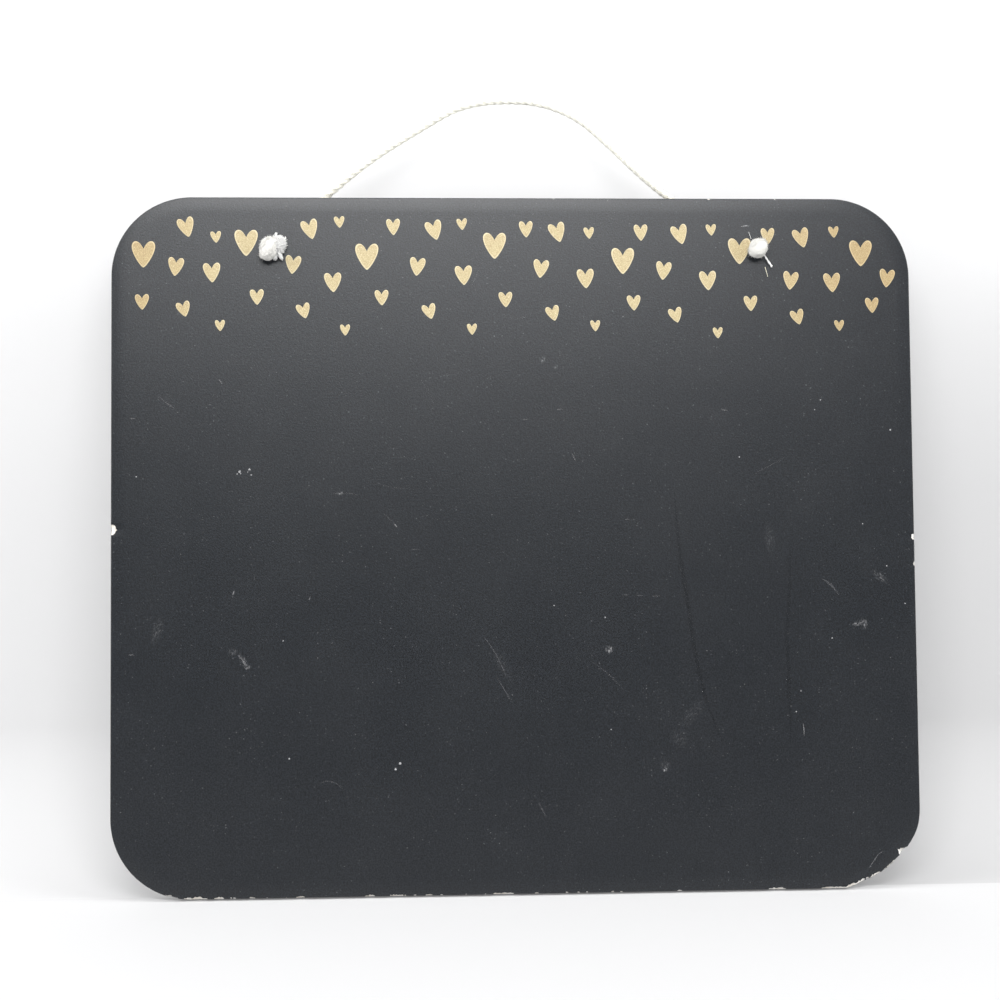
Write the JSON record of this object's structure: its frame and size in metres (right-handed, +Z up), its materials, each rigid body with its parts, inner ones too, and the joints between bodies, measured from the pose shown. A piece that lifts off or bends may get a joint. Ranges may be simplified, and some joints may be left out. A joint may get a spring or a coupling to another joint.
{
  "type": "hanging chalkboard",
  "caption": "Thin rounded chalkboard with a printed band of small hearts, hung by a knotted cotton rope through its top corners.",
  "frame": {"origin": "middle of the flat back face of the board", "axes": "+X to the right of someone who reads the board, +Y out of the back face, +Z up along the board"},
  "size_m": [0.303, 0.0134, 0.3018],
  "materials": {
    "painted_board": "matt dark paint over fibreboard",
    "chalk_black": "matt chalk surface with a faint sheen",
    "gold_print": "fine glitter print",
    "cotton_rope": "laid natural cotton",
    "loose_cotton": "loose cotton fibre"
  },
  "bodies": {
    "board": {"board_core": "painted_board", "chalk_face": "chalk_black", "rope_left_exit": "cotton_rope", "rope_right_exit": "cotton_rope", "left_knot": "cotton_rope", "right_knot": "cotton_rope", "left_frayed_end": "loose_cotton", "right_loose_yarn": "loose_cotton"},
    "handle": {"rope_handle": "cotton_rope"}
  },
  "joints": [
    {"name": "handle_swing", "type": "hinge", "parent": "board", "child": "handle", "pos_m": [0, 0.0022, 0.1134], "axis": [-1, 0, 0], "range_deg": [0, 180]}
  ]
}
